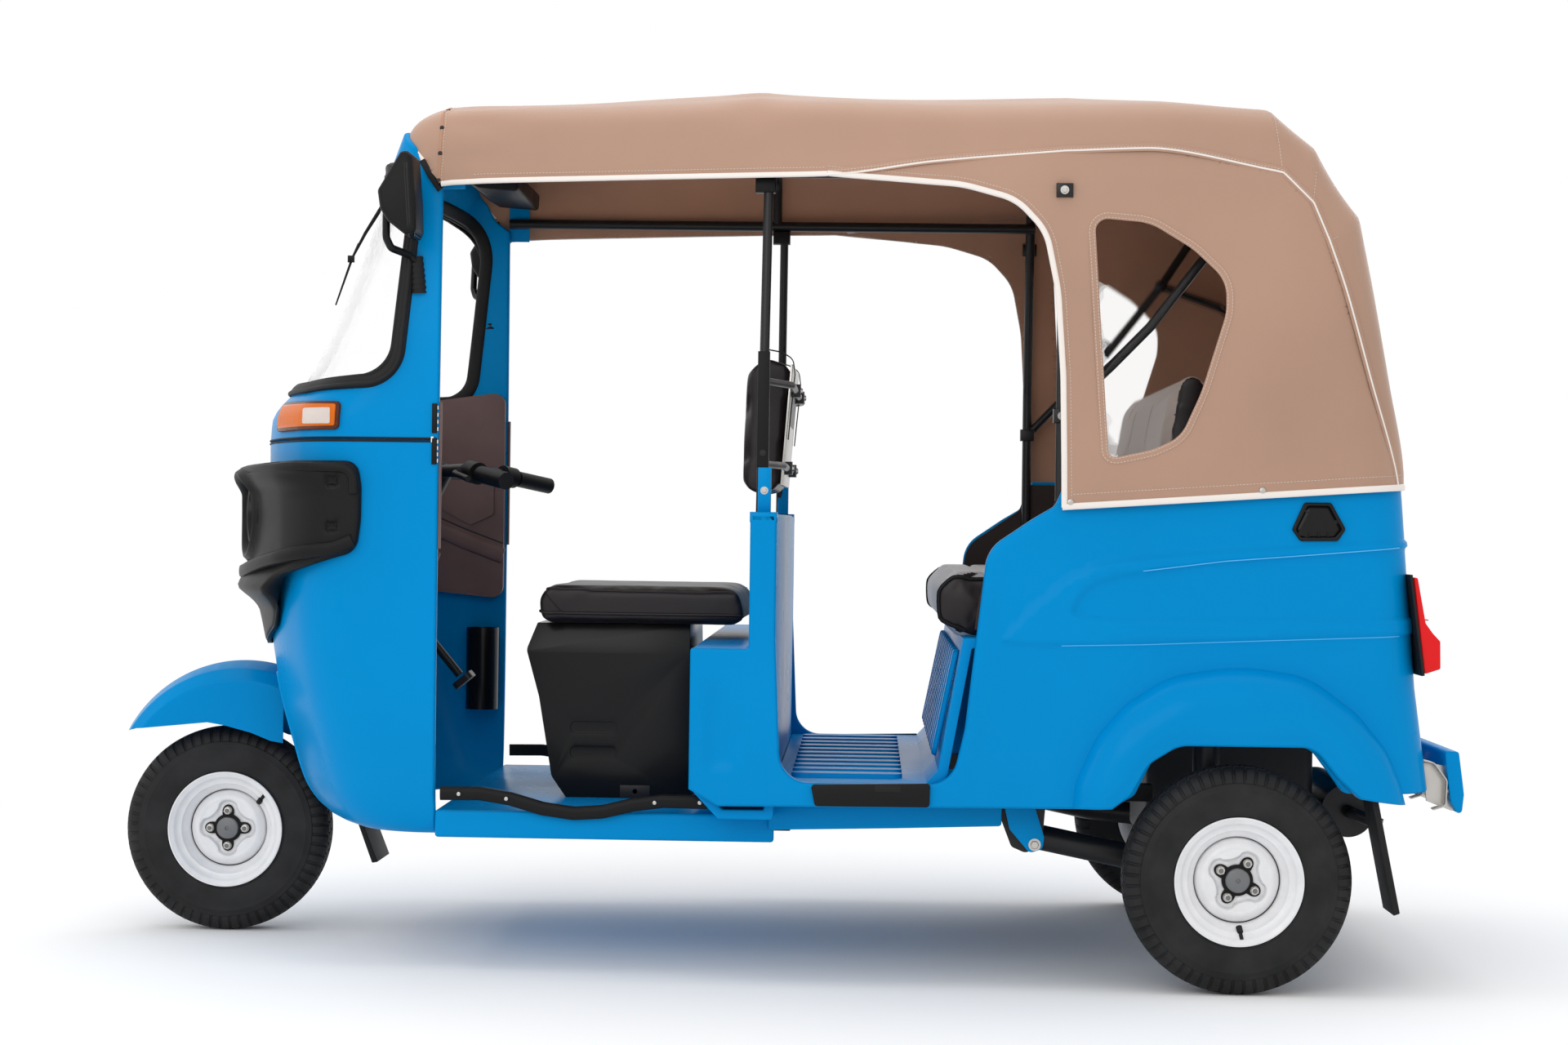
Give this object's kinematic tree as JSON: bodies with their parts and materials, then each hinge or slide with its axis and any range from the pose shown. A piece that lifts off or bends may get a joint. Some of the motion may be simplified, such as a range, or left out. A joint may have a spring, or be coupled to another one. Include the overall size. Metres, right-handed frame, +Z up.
{
  "type": "auto rickshaw",
  "caption": "Three-wheeled passenger taxi with an open driver's cab, raked windscreen, open-sided rear tub with a bench, fabric hood on tubes, and a lid over the rear engine.",
  "frame": {"origin": "on the ground below the middle of the vehicle", "axes": "+Z up, -X forward, -Y the vehicle's left side"},
  "size_m": [2.64, 1.3, 1.7204],
  "materials": {
    "body_paint": "gloss blue paint",
    "black_plastic": "moulded black plastic",
    "dark_vinyl": "dark seat vinyl",
    "grey_vinyl": "light grey seat vinyl",
    "hood_vinyl": "coated hood canvas",
    "clear_sheet": "clear flexible sheet",
    "windscreen": "laminated glass",
    "rubber": "black rubber",
    "tyre": "black tyre rubber",
    "rim_paint": "silver-white enamel",
    "amber": "amber lens",
    "red_lens": "red lens",
    "lamp_lens": "clear lamp lens",
    "dash_plastic": "dark brown moulded plastic",
    "black_steel": "satin black paint",
    "alloy": "cast engine metal"
  },
  "bodies": {
    "root": {"front_apron": "body_paint", "windscreen_frame": "body_paint", "windscreen_glass": "windscreen", "windscreen_seal": "rubber", "lamp_mask": "black_plastic", "headlamps": "lamp_lens", "indicators": "amber", "dash_panel": "dash_plastic", "steering_head": "black_steel", "brake_pedal": "black_steel", "bottle_holder": "black_plastic", "wiper": "black_plastic", "mirrors": "black_plastic", "floor_pan": "body_paint", "sill_trims": "black_plastic", "partition": "body_paint", "left_side": "body_paint", "right_side": "body_paint", "rear_panel": "body_paint", "tail_lamps": "red_lens", "wheel_flares": "body_paint", "side_vents": "black_plastic", "mud_flaps": "rubber", "rear_bumper": "body_paint", "passenger_floor": "body_paint", "rear_seat_cushion": "grey_vinyl", "rear_seat_back": "dark_vinyl", "driver_seat_box": "black_plastic", "driver_seat_cushion": "dark_vinyl", "driver_backrest": "dark_vinyl", "hood_frame": "black_steel", "post_poles": "black_steel", "canopy": "hood_vinyl", "canopy_windows": "clear_sheet", "chassis_rails": "black_steel", "running_gear": "black_steel", "engine_block": "alloy", "silencer": "black_steel"},
    "steering": {"steering_column": "black_steel", "front_fender": "body_paint", "handlebar": "black_plastic"},
    "front_wheel": {"front_tyre": "tyre", "front_rim": "rim_paint"},
    "rear_left_wheel": {"rear_left_tyre": "tyre", "rear_left_rim": "rim_paint"},
    "rear_right_wheel": {"rear_right_tyre": "tyre", "rear_right_rim": "rim_paint"},
    "engine_lid": {"engine_door": "body_paint"}
  },
  "joints": [
    {"name": "steer", "type": "hinge", "parent": "root", "child": "steering", "pos_m": [-0.7, 0, 0.95], "axis": [0.454, 0, 0.891], "range_deg": [-40, 40]},
    {"name": "front_wheel_spin", "type": "hinge", "parent": "steering", "child": "front_wheel", "pos_m": [-1.11, 0, 0.21], "axis": [0, 1, 0], "continuous": true},
    {"name": "rear_left_wheel_spin", "type": "hinge", "parent": "root", "child": "rear_left_wheel", "pos_m": [0.89, -0.575, 0.21], "axis": [0, 1, 0], "continuous": true},
    {"name": "rear_right_wheel_spin", "type": "hinge", "parent": "root", "child": "rear_right_wheel", "pos_m": [0.89, 0.575, 0.21], "axis": [0, 1, 0], "continuous": true},
    {"name": "engine_lid_hinge", "type": "hinge", "parent": "root", "child": "engine_lid", "pos_m": [1.2065, 0, 0.803], "axis": [0, -1, 0], "range_deg": [0, 75]}
  ]
}
